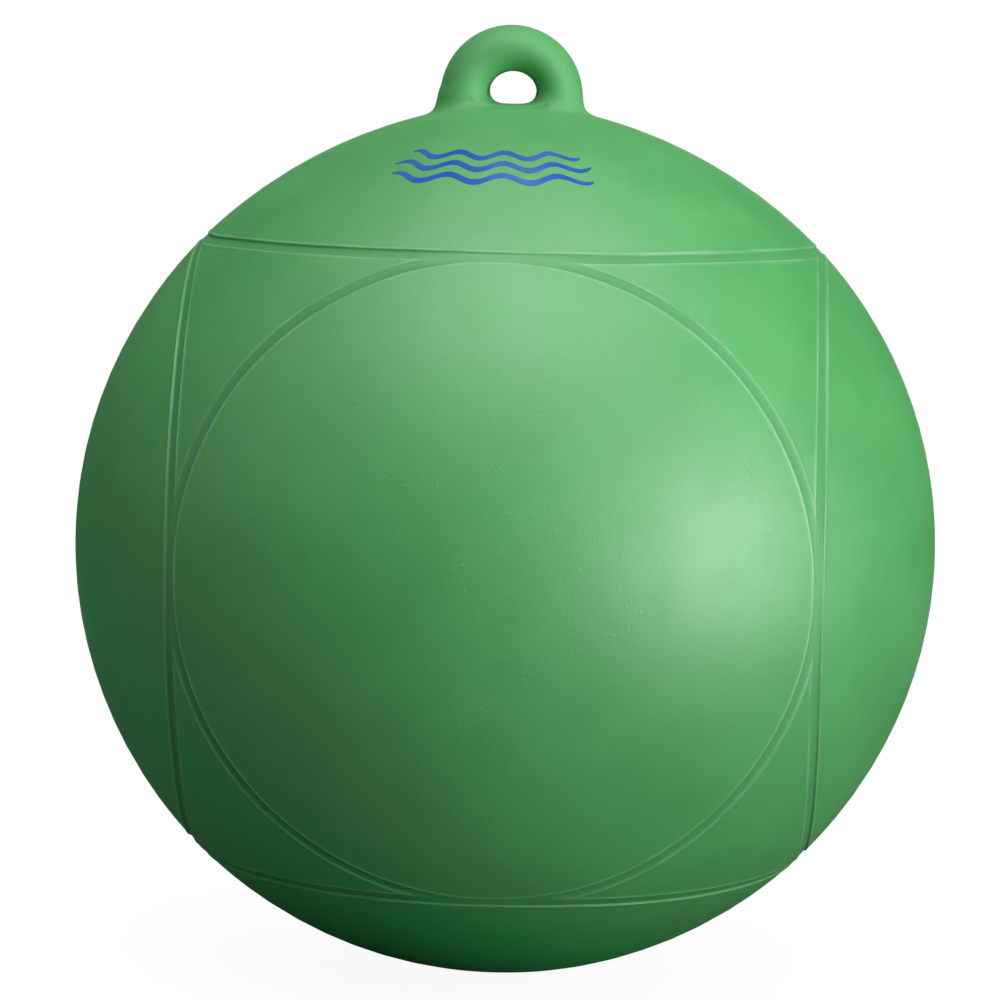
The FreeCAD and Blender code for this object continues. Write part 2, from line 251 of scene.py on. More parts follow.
def off_crown(directions):
    """0 on the crown, which the eye's foot replaces, growing to 1 below it."""
    return smooth_step(EYE_EDGE, EYE_EDGE + CROWN_FADE, from_top(directions))


def groove_angles(directions):
    """How far each point is outside the circle round each axis, in millimetres."""
    angles = np.arccos(np.clip(np.abs(directions), 0, 1))
    return (angles - GROOVE_ANGLE) * BALL_RADIUS


def move_from(directions, pole, distance):
    """A move away from a pole, felt near its groove."""
    level = np.clip((directions * pole).sum(axis=1), -1, 1)
    away = directions * level[:, None] - pole
    near = bump_of(np.arccos(level), GROOVE_ANGLE, GROOVE_SPREAD)
    return away * (distance * near / (np.linalg.norm(away, axis=1) + TINY))[:, None]


def groove_moves(directions):
    """How the skin is moved along itself, so that the grooves wander and differ in size.

    The fine waver is a third of the coarse one.
    """
    moves = np.zeros_like(directions)
    for pole, growth, lean in GROOVE_GROWTH:
        moves += move_from(directions, pole, growth + directions @ np.array(lean, float))
    coarse, fine = WANDER_SCALES
    for axis in range(3):
        waver = wander(directions, coarse, axis) + wander(directions, fine, axis + 3) / 3
        pole = np.zeros_like(directions)
        pole[:, axis] = np.sign(directions[:, axis])
        moves += move_from(directions, pole, WANDER * waver)
    return moves * off_crown(directions)[:, None] / BALL_RADIUS


def unmoved(directions):
    """Where points of the finished skin lay before the grooves were moved."""
    start = directions
    for _ in range(SEARCH_ROUNDS):
        start = directions - groove_moves(start)
        start = start / np.linalg.norm(start, axis=1)[:, None]
    return start


def touching(outside):
    """1 where a groove runs into the next one, where both are shallower and their painted shade
    lighter.
    """
    second = np.sort(np.abs(outside), axis=1)[:, 1]
    return bump_of(second, 0, TANGENT_REACH)


def relief(directions):
    """The height of the grooves and their raised lips; then the masks of the two, for the grooves'
    painted shade and the lips' painted highlight.
    """
    outside = groove_angles(directions)
    inner = smooth_step(INNER_EDGE, GROOVE_BED, outside)
    outer = 1 - BED_SLOPE * smooth_step(GROOVE_BED, BED_END, outside)
    outer -= (1 - BED_SLOPE) * smooth_step(BED_END, OUTER_EDGE, outside)
    channels = np.minimum(inner, outer)
    channel = 1 - np.prod(1 - channels, axis=1)
    lips = np.zeros(len(directions))
    for place, side in zip(LIP_PLACES, (-1, 1)):
        width = np.where((outside - place) * side < 0, LIP_WIDTH, LIP_REACH)
        lips += (bump_of(outside, place, width) * (1 - channel[:, None]) ** 2).max(axis=1)
    lips = np.clip(lips, 0, 1) * (1 + slow_change(directions, LIP_CHANGE))
    uneven = 1 + slow_change(directions, DEPTH_CHANGE)
    near = touching(outside)
    depth = GROOVE_DEPTH * uneven * (1 - TANGENT_SHALLOW * near)
    lips = lips * (1 - TANGENT_SMOOTH * near)
    height = lips * LIP_HEIGHT - channel * depth + slow_change(directions, SKIN_CHANGE)
    return height, channel * (1 - TANGENT_LESS_SHADE * near), lips


def boss_height(directions):
    """The raised ring of skin round the valve."""
    from_valve = (directions - np.array(VALVE_PLACE.normalized())) * BALL_RADIUS
    from_valve = np.linalg.norm(from_valve, axis=1)
    return BOSS_HEIGHT * (1 - smooth_step(RECESS_RADIUS + BOSS_START, BOSS_EDGE, from_valve))


def skin_points(directions):
    """Points of the ball's outer surface near the given directions."""
    directions = directions / np.linalg.norm(directions, axis=1)[:, None]
    height, _, _ = relief(directions)
    fade = off_crown(directions)
    directions = directions + groove_moves(directions)
    directions = directions / np.linalg.norm(directions, axis=1)[:, None]
    radius = skin_radius(from_top(directions))
    return directions * (radius + (height + boss_height(directions)) * fade)[:, None]


# Where the patch's rings of points are: millimetres inwards and outwards from the groove's
# middle, and, further in, degrees from the pole.
RINGS_INNER = (0.3, 0.55, 0.75, 0.92, 1.05, 1.15, 1.25, 1.35, 1.45, 1.55, 1.65, 1.74, 1.84, 1.98,
               2.2, 2.6, 3.3, 4.6, 6.6, 9.4, 13.2, 19.2)
RINGS_OUTER = (0.3, 0.6, 0.85, 1.05, 1.22, 1.38, 1.5, 1.6, 1.68, 1.76, 1.88, 2.05, 2.3, 2.7, 3.4,
               4.7, 6.6, 9.4, 13.4, 19.5)
RINGS_INSIDE = (30.5, 27, 23.5, 20.2, 17, 14, 11, 8, 5, 2.5, 0)


def face_patch():
    """One of six like patches of the ball, round the upright axis, cut where it meets the rest."""
    angles = [angle * DEGREE for angle in reversed(RINGS_INSIDE)]
    angles += [GROOVE_ANGLE - offset / BALL_RADIUS for offset in reversed(RINGS_INNER)]
    angles += [GROOVE_ANGLE]
    angles += [GROOVE_ANGLE + offset / BALL_RADIUS for offset in RINGS_OUTER]
    bm = bmesh.new()
    points = [(BALL_RADIUS * math.sin(a), 0, BALL_RADIUS * math.cos(a)) for a in angles]
    verts = [bm.verts.new(point) for point in points]
    edges = [bm.edges.new(pair) for pair in zip(verts, verts[1:])]
    bmesh.ops.spin(bm, geom=verts + edges, cent=(0, 0, 0), axis=(0, 0, 1), angle=2 * math.pi,
                   steps=SEGMENTS, use_merge=True)
    bmesh.ops.remove_doubles(bm, verts=bm.verts, dist=MERGE)
    for outward in ((1, 0, -1), (-1, 0, -1), (0, 1, -1), (0, -1, -1)):
        bmesh.ops.bisect_plane(bm, geom=bm.verts[:] + bm.edges[:] + bm.faces[:], dist=MERGE,
                               plane_co=(0, 0, 0), plane_no=outward, clear_outer=True)
    return bm


def add_six_faces(bm):
    """Turns copies of the patch to the ball's other five sides and joins them."""
    patch = bm.verts[:] + bm.edges[:] + bm.faces[:]
    for axis, angle in (("X", 90), ("X", -90), ("X", 180), ("Y", 90), ("Y", -90)):
        copy = bmesh.ops.duplicate(bm, geom=patch)["geom"]
        verts = [item for item in copy if isinstance(item, bmesh.types.BMVert)]
        turn = Matrix.Rotation(angle * DEGREE, 3, axis)
        bmesh.ops.rotate(bm, verts=verts, cent=(0, 0, 0), matrix=turn)
    bmesh.ops.remove_doubles(bm, verts=bm.verts, dist=MERGE)


def refine_boss(bm):
    """Divides the skin more finely round the valve."""
    centre = VALVE_PLACE.normalized() * BALL_RADIUS
    edges = [e for e in bm.edges if all((v.co - centre).length < BOSS_REFINE for v in e.verts)]
    bmesh.ops.subdivide_edges(bm, edges=edges, cuts=3, use_grid_fill=True)


def open_crown(bm):
    """Takes away the skin that the eye's foot replaces."""
    level = BALL_RADIUS * math.cos(EYE_EDGE)
    inside = [f for f in bm.faces if f.calc_center_median().z > level]
    bmesh.ops.delete(bm, geom=inside, context="FACES")


# Rope eye

def by_side(points, left, right):
    return np.where(points[:, 0] < 0, left, right)


def arch_field(points):
    """Below zero inside the arch, as if it stood alone."""
    across, depth, height = np.abs(points[:, 0]), np.abs(points[:, 1]), points[:, 2]
    flare = by_side(points, FLARE_LEFT, FLARE_RIGHT) * np.clip(FLARE_START - height, 0, None)
    outer = np.hypot(points[:, 0] - EYE_SHIFT, np.clip(height - EYE_CENTRE, 0, None))
    outer = EYE_RADIUS + flare * smooth_step(0, FLARE_EASE, FLARE_START - height) - outer
    above = np.clip(height - HOLE_CENTRE, 0, None) * HOLE_FLATNESS
    inner = np.hypot(across, above) - HOLE_RADIUS
    breadth = (inner - outer) / (inner + outer)
    power = EYE_SQUARENESS
    arch = (np.abs(breadth) ** power + (depth / EYE_HALF_DEPTH) ** power) ** (1 / power) - 1
    return arch * (inner + outer) / 2


def floor_field(points):
    """Below zero inside the block that is the hole's floor, its long edges rounded."""
    across, depth, height = np.abs(points[:, 0]), np.abs(points[:, 1]), points[:, 2]
    beyond = (depth - FLOOR_HALF_DEPTH + FLOOR_CORNER, height - FLOOR_HEIGHT + FLOOR_CORNER)
    outside = np.hypot(*(np.clip(b, 0, None) for b in beyond))
    floor = outside + np.clip(np.maximum(*beyond), None, 0)
    return np.maximum(floor - FLOOR_CORNER, across - FLOOR_HALF_WIDTH)


def eye_field(points):
    """Below zero inside the moulding: the eye's arch, its floor and the crown, filleted."""
    length = np.linalg.norm(points, axis=1)
    crown = length - skin_radius(np.arccos(np.clip(points[:, 2] / length, -1, 1)))
    base = smooth_least(crown, floor_field(points), FLOOR_FILLET)
    base = base + CREASE_DEPTH * crease_mask(points)
    fillet = by_side(points, FOOT_FILLET_LEFT, FOOT_FILLET_RIGHT)
    outwards = smooth_step(*FILLET_CHANGE, np.abs(points[:, 0]))
    fillet = HOLE_FILLET + (fillet - HOLE_FILLET) * outwards
    return smooth_least(base, arch_field(points), fillet)


def crease_mask(points):
    """The crease where the hole's floor meets the crown, in front and behind."""
    across, depth = np.abs(points[:, 0] - CREASE_MIDDLE), np.abs(points[:, 1])
    line = bump_of(depth, CREASE_PLACE - CREASE_BOW * across ** 2, CREASE_WIDTH)
    return line * (1 - smooth_step(*CREASE_ENDS, across)) * (points[:, 2] > EYE_BASE)


def settle(points, free):
    """Moves the free points onto the moulding's surface."""
    for _ in range(SETTLE_ROUNDS):
        field = eye_field(points)
        moves = np.eye(3) * SETTLE_STEP
        slope = np.array([eye_field(points + move) - field for move in moves]).T / SETTLE_STEP
        steep = np.clip((slope ** 2).sum(axis=1), LEAST_STEEPNESS, None)
        points[free] -= (slope * (field / steep)[:, None])[free]
    return points


def refine_crease(bm):
    """Divides the foot's grid more finely along the two creases."""
    near = {v for v in bm.verts if abs(v.co.x) < CREASE_FINE_LENGTH
            and abs(abs(v.co.y) - CREASE_PLACE) < CREASE_FINE_WIDTH}
    edges = [e for e in bm.edges if near.issuperset(e.verts)]
    bmesh.ops.subdivide_edges(bm, edges=edges, cuts=2, use_grid_fill=True)


def foot_grid():
    """A grid over the crown, square in the middle and round at its edge."""
    bm = bmesh.new()
    cells = SEGMENTS // 4
    bmesh.ops.create_grid(bm, x_segments=cells, y_segments=cells, size=1)
    rim = float(skin_radius(np.array(EYE_EDGE)))
    radius, level = rim * math.sin(EYE_EDGE), rim * math.cos(EYE_EDGE)
    for vert in bm.verts:
        x, y = (math.tan(round(c, 6) * math.pi / 4) for c in vert.co.xy)
        size = max(abs(x), abs(y))
        rounding = smooth_step(FOOT_SQUARE, 1, size)
        scale = 1 + rounding * (size / max(math.hypot(x, y), TINY) - 1)
        x, y = x * scale * radius, y * scale * radius
        vert.co = (x, y, math.sqrt(FOOT_DOME ** 2 - x * x - y * y))
        if size > FOOT_RIM:
            vert.co.z = level
    refine_crease(bm)
    return bm


def in_foot(face):
    """Whether a cell of the grid is where one of the arch's legs stands."""
    x, y, _ = face.calc_center_median()
    return HOLE_RADIUS < abs(x) < EYE_RADIUS + LEG_MARGIN and abs(y) < EYE_HALF_DEPTH


def raise_leg(bm, loop, side):
    """Draws a leg up from the crown to the arch's centre, its outline growing rounder."""
    centre = side * (EYE_RADIUS + HOLE_RADIUS) / 2
    half = ((EYE_RADIUS - HOLE_RADIUS) / 2, EYE_HALF_DEPTH)
    power = EYE_SQUARENESS
    for steps_left in range(LEG_STEPS, 0, -1):
        made = bmesh.ops.extrude_edge_only(bm, edges=loop)["geom"]
        loop = [item for item in made if isinstance(item, bmesh.types.BMEdge)]
        share = 1 / steps_left
        for vert in {v for e in loop for v in e.verts}:
            x, y = vert.co.x - centre, vert.co.y
            size = (abs(x / half[0]) ** power + abs(y / half[1]) ** power) ** (1 / power)
            scale = 1 + share * (1 / size - 1)
            z = vert.co.z + share * (EYE_CENTRE - vert.co.z)
            vert.co = (centre + x * scale, y * scale, z)
    return loop


def eye_and_foot():
    """The arch, turned from one leg over to the other, on its foot."""
    bm = foot_grid()
    bmesh.ops.delete(bm, geom=[f for f in bm.faces if in_foot(f)], context="FACES")
    rim_level = float(skin_radius(np.array(EYE_EDGE))) * math.cos(EYE_EDGE) + MERGE
    rims = [e for e in bm.edges if e.is_boundary and max(v.co.z for v in e.verts) > rim_level]
    right = raise_leg(bm, [e for e in rims if e.verts[0].co.x > 0], 1)
    raise_leg(bm, [e for e in rims if e.verts[0].co.x < 0], -1)
    verts = list(dict.fromkeys(v for e in right for v in e.verts))
    bmesh.ops.spin(bm, geom=verts + right, cent=(0, 0, EYE_CENTRE), axis=(0, -1, 0),
                   angle=math.pi, steps=EYE_STEPS)
    bmesh.ops.remove_doubles(bm, verts=bm.verts, dist=ARCH_MERGE)
    free = np.array([v.co.z > rim_level for v in bm.verts])
    loose = [v for v, is_free in zip(bm.verts, free) if is_free]
    write_points(bm, settle(read_points(bm), free))
    for _ in range(SMOOTH_ROUNDS):
        bmesh.ops.smooth_vert(bm, verts=loose, factor=0.5, use_axis_x=True, use_axis_y=True,
                              use_axis_z=True)
        write_points(bm, settle(read_points(bm), free))
    mesh = bpy.data.meshes.new("eye")
    bm.to_mesh(mesh)
    bm.free()
    return mesh


# Hollow and valve hole

def turned(outline, segments):
    """A closed solid turned from (radius, height) points: a ring, or from axis to axis."""
    bm = bmesh.new()
    verts = [bm.verts.new((radius, 0, height)) for radius, height in outline]
    edges = [bm.edges.new(pair) for pair in zip(verts, verts[1:])]
    if outline[0][0] > 0:
        edges.append(bm.edges.new((verts[-1], verts[0])))
    bmesh.ops.spin(bm, geom=verts + edges, cent=(0, 0, 0), axis=(0, 0, 1), angle=2 * math.pi,
                   steps=segments, use_merge=True)
    bmesh.ops.remove_doubles(bm, verts=bm.verts, dist=MERGE)
    bmesh.ops.recalc_face_normals(bm, faces=bm.faces)
    return bm


def cut(bm, tool):
    """The first mesh less the second."""
    objects = []
    for name, source in (("cut_base", bm), ("cut_tool", tool)):
        mesh = bpy.data.meshes.new(name)
        source.to_mesh(mesh)
        source.free()
        objects.append(bpy.data.objects.new(name, mesh))
        bpy.context.scene.collection.objects.link(objects[-1])
    base, cutter = objects
    change = base.modifiers.new("cut", "BOOLEAN")
    change.operation = "DIFFERENCE"
    change.solver = "EXACT"
    change.object = cutter
    graph = bpy.context.evaluated_depsgraph_get()
    made = bmesh.new()
    made.from_object(base, graph)
    for item in objects:
        bpy.data.objects.remove(item)
    return made


def valve_frame():
    """The valve's own axes: its mouth at zero, and +Z straight out of the ball."""
    tilt = Matrix.Rotation(-VALVE_AXIS.angle(Vector((0, 0, 1))), 4, "X")
    return Matrix.Translation(VALVE_MOUTH) @ tilt


def add_hollow(bm):
    """The inner surface of the wall, facing inwards."""
    radius = BALL_RADIUS - WALL
    inner = bmesh.ops.create_icosphere(bm, subdivisions=5, radius=radius)["verts"]
    faces = list(dict.fromkeys(face for vert in inner for face in vert.link_faces))
    bmesh.ops.reverse_faces(bm, faces=faces)


def valve_hole():
    """What the valve's recess and hole take out of the wall, about the ball's centre."""
    base, top = HOLE_TOOL_ENDS
    tool = turned([(0, base), (BORE_RADIUS, base), (BORE_RADIUS, -RECESS_DEPTH),
                   (RECESS_RADIUS, -RECESS_DEPTH), (RECESS_RADIUS, top), (0, top)],
                  HOLE_SEGMENTS)
    to_ball = Matrix.Translation(-BALL_CENTRE / MM) @ Matrix.Scale(1 / MM, 4)
    place = to_ball @ valve_frame() @ Matrix.Scale(MM, 4)
    bmesh.ops.transform(tool, matrix=place, verts=tool.verts)
    return tool


def mark_skin(bm):
    """Stores where the grooves, the eye's creases and the lips are, for the material, which paints
    shade in the grooves and creases and highlights on the lips.
    """
    points = read_points(bm)
    length = np.linalg.norm(points, axis=1)
    _, channel, lips = relief(unmoved(points / length[:, None]))
    outside = length > BALL_RADIUS - WALL / 2
    skin = outside * (points[:, 2] < EYE_BASE)
    # the groove mask takes the eye's creases too, for the painted shade there
    groove = np.maximum(channel * skin, crease_mask(points) * outside)
    for name, mask in (("groove", groove), ("lip", lips * skin)):
        layer = bm.verts.layers.float.new(name)
        for vert, value in zip(bm.verts, mask):
            vert[layer] = value


def make_moulding(material):
    """The hollow ball and its eye, in one piece."""
    bm = face_patch()
    add_six_faces(bm)
    refine_boss(bm)
    open_crown(bm)
    write_points(bm, skin_points(read_points(bm)))
    bm.from_mesh(eye_and_foot())
    bmesh.ops.remove_doubles(bm, verts=bm.verts, dist=MERGE)
    bmesh.ops.recalc_face_normals(bm, faces=bm.faces)
    add_hollow(bm)
    bm = cut(bm, valve_hole())
    mark_skin(bm)
    piece = finish_piece(bm, "moulded_ball_and_eye", Matrix.Translation(BALL_CENTRE), material,
                         "buoy")
    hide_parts("ball_shell", "rope_eye")


# Air valve: outlines are (radius, height) points

SEAT_OUTLINE = ((5.0, -8.0), (6.8, -8.0), (7.0, -7.8), (7.0, -1.5), (9.9, -1.5), (10.0, -1.4),
                (10.0, -0.45), (9.85, -0.16), (9.5, 0.0), (8.5, 0.0), (8.35, -0.12),
                (8.15, -0.12), (8.0, 0.0), (6.75, 0.0), (6.6, -0.15), (6.6, -0.8), (5.15, -0.8),
                (5.0, -0.95))
GASKET_CENTRE = (5.75, GASKET_MIDDLE)
GASKET_HALF = (0.65, 0.5)
GASKET_STEPS = 24
GASKET_POWER = 4
SHANK_RADIUS = 4.92
SHANK_BASE = -6.5
HEAD_BASE = 0.2
HEAD_TOP = 2.0
HEAD_RADIUS = 7.6
HEAD_OUTLINE = ((7.3, HEAD_BASE), (7.5, 0.3), (HEAD_RADIUS, 0.45), (HEAD_RADIUS, 1.5),
                (7.45, 1.75), (7.1, 1.93), (6.7, HEAD_TOP), (5.6, HEAD_TOP), (5.35, 1.86),
                (0, 1.8))
THREAD_PITCH = 1.5
THREAD_DEPTH = 0.55
THREAD_ROWS = 52
THREAD_TOP = -0.8
THREAD_RUN_IN = 0.6
THREAD_RUN_OUT = 0.5
THREAD_FLANK = (0.12, 0.5)
THREAD_ROOT = 0.62
TIP_BEVEL = 0.35
TIP_HEIGHT = 0.5
FLUTES = 30
FLUTE_DEPTH = 0.22
FLUTE_START = 7
FLUTE_TOP = 1.95
SLOT_HALF = (10, 0.8, 1)
SLOT_BASE = 1.0
ROUND_SEGMENTS = 120


def make_seat(material):
    """The valve's flanged barrel, set in the ball's wall."""
    bm = turned(SEAT_OUTLINE, ROUND_SEGMENTS)
    piece = finish_piece(bm, "valve_seat_flange", valve_frame(), material, "buoy",
                         sharp=35)
    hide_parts("valve_seat")


def make_gasket(material):
    """A rubber ring, squeezed almost square under the plug's head."""
    outline = []
    for step in range(GASKET_STEPS):
        turn = step * (360 / GASKET_STEPS) * DEGREE
        across, up = math.cos(turn), math.sin(turn)
        size = (abs(across) ** GASKET_POWER + abs(up) ** GASKET_POWER) ** (1 / GASKET_POWER)
        outline.append((GASKET_CENTRE[0] + GASKET_HALF[0] * across / size,
                        GASKET_CENTRE[1] + GASKET_HALF[1] * up / size))
    bm = turned(outline, ROUND_SEGMENTS)
    piece = finish_piece(bm, "valve_gasket_ring", valve_frame(), material, "plug",
                         sharp=60)
    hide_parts("plug_gasket")


def flute_depth(turn):
    return max(0.0, math.cos(turn * FLUTES)) ** 2 * FLUTE_DEPTH


def thread_depth(z, turn):
    """How far the shank is cut in by its thread, and by the bevel of its tip."""
    phase = (z / THREAD_PITCH - turn / (2 * math.pi)) % 1
    ease = min(1.0, (z - SHANK_BASE) / THREAD_RUN_IN, (THREAD_TOP - z) / THREAD_RUN_OUT)
    flank = smooth_step(*THREAD_FLANK, abs(phase - 0.5) * 2 * THREAD_ROOT)
    bevel = TIP_BEVEL * max(0.0, 1 - (z - SHANK_BASE) / TIP_HEIGHT)
    return THREAD_DEPTH * flank * ease + bevel


def shape_plug(bm):
    """Cuts the thread into the shank and the flutes into the head's rim."""
    for vert in bm.verts:
        x, y, z = vert.co
        radius, turn = math.hypot(x, y), math.atan2(y, x)
        depth = 0.0
        if radius > FLUTE_START and z < FLUTE_TOP:
            depth = flute_depth(turn)
        elif abs(radius - SHANK_RADIUS) < MERGE and z < THREAD_TOP:
            depth = thread_depth(z, turn)
        if depth:
            vert.co.xy = (x * (1 - depth / radius), y * (1 - depth / radius))


def make_plug(material):
    """A screw plug: threaded shank, fluted head and a slot for a coin."""
    step = (HEAD_BASE - SHANK_BASE) / THREAD_ROWS
    shank = [(SHANK_RADIUS, SHANK_BASE + step * row) for row in range(THREAD_ROWS + 1)]
    bm = turned([(0, SHANK_BASE)] + shank + list(HEAD_OUTLINE), ROUND_SEGMENTS)
    shape_plug(bm)
    slot = bmesh.new()
    bmesh.ops.create_cube(slot, size=2)
    bmesh.ops.scale(slot, verts=slot.verts, vec=SLOT_HALF)
    bmesh.ops.translate(slot, verts=slot.verts, vec=(0, 0, SLOT_BASE + SLOT_HALF[2]))
    piece = finish_piece(cut(bm, slot), "valve_screw_plug", valve_frame(), material, "plug",
                         sharp=35)
    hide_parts("valve_plug")


# Printed mark: three plain wave strokes

PRINT_ANGLE = 27.5 * DEGREE
PRINT_SHIFT = -3.2
PRINT_HALF_LENGTH = 24.5
PRINT_ROWS = (5.4, 0.0, -5.4)
PRINT_OUTER_CUT = 0.06
PRINT_HALF_WIDTH = 1.1
PRINT_WAVE = 12.2
PRINT_SWING = 1.5
PRINT_BLUNTNESS = 6
PRINT_LEAST_WIDTH = 0.03
PRINT_CELLS = (160, 4)
PRINT_LIFT = 0.05
PRINT_THICKNESS = 0.05


def stroke_points(across, along, row):
    """Where a stroke's point lies on the ball's front shoulder."""
    reach = PRINT_HALF_LENGTH * (1 - PRINT_OUTER_CUT * abs(row) / PRINT_ROWS[0])
    taper = np.clip(1 - np.abs(along) ** PRINT_BLUNTNESS, PRINT_LEAST_WIDTH, 1) ** 0.5
    wave = PRINT_SWING * np.sin(along * reach / PRINT_WAVE * 2 * math.pi)
    up = row + wave + across * PRINT_HALF_WIDTH * taper
    side = PRINT_SHIFT + along * reach
    angle = PRINT_ANGLE - up / BALL_RADIUS
    turn = side / (BALL_RADIUS * math.sin(PRINT_ANGLE))
    front = -np.sin(angle) * np.cos(turn)
    return np.stack([np.sin(angle) * np.sin(turn), front, np.cos(angle)], axis=1)


def make_print(material):
    """The strokes, as a thin film of ink on the skin."""
    bm = bmesh.new()
    along, across = PRINT_CELLS
    for row in PRINT_ROWS:
        made = bmesh.ops.create_grid(bm, x_segments=along, y_segments=across, size=1)["verts"]
        flat = np.array([vert.co for vert in made])
        directions = stroke_points(flat[:, 1], flat[:, 0], row)
        points = skin_points(directions)
        for vert, point, way in zip(made, points, directions):
            vert.co = Vector(point) + Vector(way) * PRINT_LIFT
    bmesh.ops.recalc_face_normals(bm, faces=bm.faces)
    if sum(face.normal.dot(face.calc_center_median()) for face in bm.faces) < 0:
        bmesh.ops.reverse_faces(bm, faces=bm.faces)
    bmesh.ops.solidify(bm, geom=bm.faces[:], thickness=PRINT_THICKNESS)
    bmesh.ops.recalc_face_normals(bm, faces=bm.faces)
    finish_piece(bm, "printed_waves", Matrix.Translation(BALL_CENTRE), material, "buoy",
                 sharp=60)


# Materials: node helpers

def add_node(tree, kind, settings=None, **inputs):
    """A node with its settings; an input is a value, or a socket to link it to."""
    made = tree.nodes.new(kind)
    for name, value in (settings or {}).items():
        setattr(made, name, value)
    for name, value in inputs.items():
        feed(tree, made.inputs[name.replace("_", " ")], value)
    return made


def feed(tree, socket, value):
    if isinstance(value, bpy.types.NodeSocket):
        tree.links.new(value, socket)
    else:
        socket.default_value = value


def math_of(tree, operation, *values):
    made = add_node(tree, "ShaderNodeMath", {"operation": operation})
    for socket, value in zip(made.inputs, values):
        feed(tree, socket, value)
    return made.outputs[0]


def times(tree, product, *factors):
    for factor in factors:
        product = math_of(tree, "MULTIPLY", product, factor)
    return product


def plus(tree, first, second):
    return math_of(tree, "ADD", first, second)


def remap(tree, value, low, high, to_low=0.0, to_high=1.0):
    """The value eased from one range, which may run downwards, to another."""
    made = add_node(tree, "ShaderNodeMapRange", {"interpolation_type": "SMOOTHSTEP"}, Value=value,
                    From_Min=low, From_Max=high, To_Min=to_low, To_Max=to_high)
    return made.outputs["Result"]


def noise_of(tree, place, scale, detail=2.0, distortion=0.0):
    made = add_node(tree, "ShaderNodeTexNoise", None, Vector=place, Scale=scale, Detail=detail,
                    Distortion=distortion)
    return made.outputs["Fac"]


def patches(tree, place, pattern, to_low=0.0, to_high=1.0):
    """Soft-edged patches; a pattern is a noise's scale, its detail, and a low and a high level."""
    scale, detail, low, high = pattern
    return remap(tree, noise_of(tree, place, scale, detail), low, high, to_low, to_high)


def mix_colours(tree, share, first, second):
    """The mix node's inputs 0, 6 and 7 and its output 2 are those for colours."""
    made = add_node(tree, "ShaderNodeMix", {"data_type": "RGBA"})
    for number, value in ((0, share), (6, first), (7, second)):
        feed(tree, made.inputs[number], value)
    return made.outputs[2]


def object_place(tree):
    return add_node(tree, "ShaderNodeTexCoord").outputs["Object"]


def part_of(tree, vector, axis):
    return add_node(tree, "ShaderNodeSeparateXYZ", None, Vector=vector).outputs[axis]


def attribute_of(tree, name):
    return add_node(tree, "ShaderNodeAttribute", {"attribute_name": name}).outputs["Fac"]


def vector_of(tree, operation, first, second, output="Vector"):
    made = add_node(tree, "ShaderNodeVectorMath", {"operation": operation})
    feed(tree, made.inputs[0], first)
    feed(tree, made.inputs[1], second)
    return made.outputs[output]


def length_of(tree, vector):
    made = add_node(tree, "ShaderNodeVectorMath", {"operation": "LENGTH"}, Vector=vector)
    return made.outputs["Value"]


def stirred(tree, place, scale, reach):
    """The place moved about by noise, so that shapes laid there come out ragged."""
    stir = add_node(tree, "ShaderNodeTexNoise", None, Vector=place, Scale=scale, Detail=1.0)
    away = vector_of(tree, "SUBTRACT", stir.outputs["Color"], NOISE_MIDDLE)
    scaled = add_node(tree, "ShaderNodeVectorMath", {"operation": "SCALE"}, Scale=reach)
    feed(tree, scaled.inputs[0], away)
    return vector_of(tree, "ADD", place, scaled.outputs["Vector"])


def new_group(name, inputs, outputs):
    """A shader node group with plain number sockets, but for a vector named Place."""
    tree = bpy.data.node_groups.new(name, "ShaderNodeTree")
    for socket in inputs:
        kind = "NodeSocketVector" if socket == "Place" else "NodeSocketFloat"
        tree.interface.new_socket(socket, in_out="INPUT", socket_type=kind)
    for socket in outputs:
        tree.interface.new_socket(socket, in_out="OUTPUT", socket_type="NodeSocketFloat")
    given = tree.nodes.new("NodeGroupInput").outputs
    return tree, given, tree.nodes.new("NodeGroupOutput").inputs


def use_group(tree, group, **inputs):
    made = tree.nodes.new("ShaderNodeGroup")
    made.node_tree = group
    for name, value in inputs.items():
        feed(tree, made.inputs[name], value)
    return made.outputs[0]


def new_material(name, **settings):
    """A Principled material; its settings are the shader's own plain values."""
    material = bpy.data.materials.new(name)
    material.use_nodes = True
    shader = material.node_tree.nodes["Principled BSDF"]
    for setting, value in settings.items():
        shader.inputs[setting.replace("_", " ")].default_value = value
    return material, material.node_tree, shader


def add_bump(tree, shader, height):
    """Feeds the normal from a height in millimetres."""
    bump = add_node(tree, "ShaderNodeBump", None, Height=height, Distance=MM, Strength=1.0)
    tree.links.new(bump.outputs["Normal"], shader.inputs["Normal"])


# Materials: grain and scratches, which they share

NOISE_MIDDLE = (0.5, 0.5, 0.5)
PEEL_SCALE = 420
PEEL_DETAIL = 2.5
# scale, level where a crumb starts, scale of the patches they lie in, and height
CRUMBS = ((900.0, 0.6, 75, 1.0), (520.0, 0.64, 48, -0.8))
CRUMB_STEP = 0.18
CRUMB_DETAIL = 2
CRUMB_DISTORTION = 0.4
CRUMB_PATCHES = (0.36, 0.58)
# fineness, and the share of cells that have no scratch
SCRATCHES = ((1.0, 0.7), (2.3, 0.72))
SCRATCH_STIR = (160.0, 0.0025)
SCRATCH_EDGE = (0.045, 0.01)
SCRATCH_END = (0.4, 0.25)
SCRATCH_EASE = 0.2


